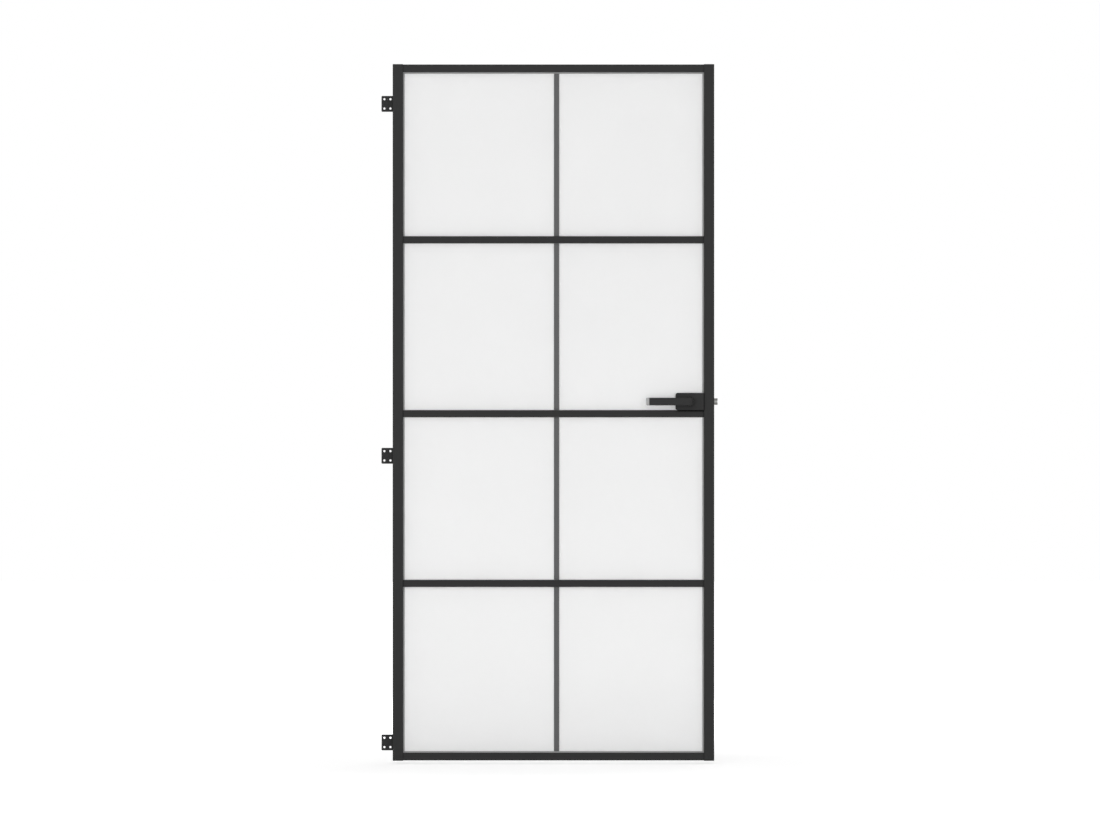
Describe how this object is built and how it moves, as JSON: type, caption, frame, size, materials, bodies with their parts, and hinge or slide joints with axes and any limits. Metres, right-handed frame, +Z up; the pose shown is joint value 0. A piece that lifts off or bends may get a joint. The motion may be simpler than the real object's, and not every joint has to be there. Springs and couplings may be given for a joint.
{
  "type": "glass door",
  "caption": "Slim black framed door leaf with frosted glass lights, face-fixed hinges on its left edge and a sprung lever lock box on its right edge.",
  "frame": {"origin": "middle of the footprint of hinge plates, leaf and latch, at the bottom of the leaf; the glass lies in the plane Y = 0", "axes": "+X from the hinge side to the lock side, +Y to the side that the leaf opens towards, +Z up"},
  "size_m": [0.973, 0.12, 2.015],
  "materials": {
    "frame_black": "satin",
    "bar_grey": "satin",
    "frosted_glass": "matte",
    "gasket_rubber": "matte",
    "cap_plastic": "matte",
    "hinge_black": "satin",
    "nylon": "matte",
    "insert_nylon": "matte",
    "screw_black": "satin",
    "bright_steel": "satin",
    "lock_black": "satin",
    "case_zinc": "satin",
    "latch_steel": "satin",
    "tip_satin": "satin"
  },
  "bodies": {
    "wall_side": {"top_wall_plate": "hinge_black", "middle_wall_plate": "hinge_black", "bottom_wall_plate": "hinge_black", "top_hinge_pin": "hinge_black", "middle_hinge_pin": "hinge_black", "bottom_hinge_pin": "hinge_black", "hinge_washers": "nylon"},
    "lever": {"front_lever": "lock_black", "rear_lever": "lock_black", "front_lever_tip": "tip_satin", "rear_lever_tip": "tip_satin", "spindle": "bright_steel", "follower": "case_zinc", "grub_screws": "screw_black"},
    "latch": {"latch_bolt": "latch_steel", "latch_insert": "insert_nylon"},
    "leaf": {"bottom_door_plate": "hinge_black", "bottom_left_cap": "cap_plastic", "bottom_rail": "frame_black", "bottom_right_cap": "cap_plastic", "cover_screws": "screw_black", "cross_rail_1": "frame_black", "cross_rail_2": "frame_black", "cross_rail_3": "frame_black", "frame_screws": "bright_steel", "front_bar_1": "bar_grey", "front_bar_2": "bar_grey", "front_bar_3": "bar_grey", "front_bar_4": "bar_grey", "front_bush": "nylon", "front_cover": "lock_black", "gasket_row_1": "gasket_rubber", "gasket_row_2": "gasket_rubber", "gasket_row_3": "gasket_rubber", "gasket_row_4": "gasket_rubber", "glass_row_1": "frosted_glass", "glass_row_2": "frosted_glass", "glass_row_3": "frosted_glass", "glass_row_4": "frosted_glass", "hinge_screws": "screw_black", "latch_spring": "bright_steel", "left_stile": "frame_black", "lock_case": "case_zinc", "lock_case_lid": "case_zinc", "lock_pads": "gasket_rubber", "middle_door_plate": "hinge_black", "rear_bar_1": "bar_grey", "rear_bar_2": "bar_grey", "rear_bar_3": "bar_grey", "rear_bar_4": "bar_grey", "rear_bush": "nylon", "rear_cover": "lock_black", "right_stile": "frame_black", "top_door_plate": "hinge_black", "top_left_cap": "cap_plastic", "top_rail": "frame_black", "top_right_cap": "cap_plastic"}
  },
  "joints": [
    {"name": "door_swing", "type": "hinge", "parent": "wall_side", "child": "leaf", "pos_m": [-0.4465, 0.0235, 0.882], "axis": [0, 0, 1], "range_deg": [0, 170]},
    {"name": "lever_turn", "type": "hinge", "parent": "leaf", "child": "lever", "pos_m": [0.4057, 0, 1.039], "axis": [0, -1, 0], "range_deg": [0, 40], "stiffness_Nm_per_rad": 1.2, "springref_deg": -22.92},
    {"name": "latch_slide", "type": "slide", "parent": "leaf", "child": "latch", "axis": [-1, 0, 0], "range_m": [0, 0.01], "deforming": ["latch_spring"]}
  ],
  "couplings": [
    {"joint": "latch_slide", "follows": "lever_turn", "m_per_rad": 0.014323}
  ]
}
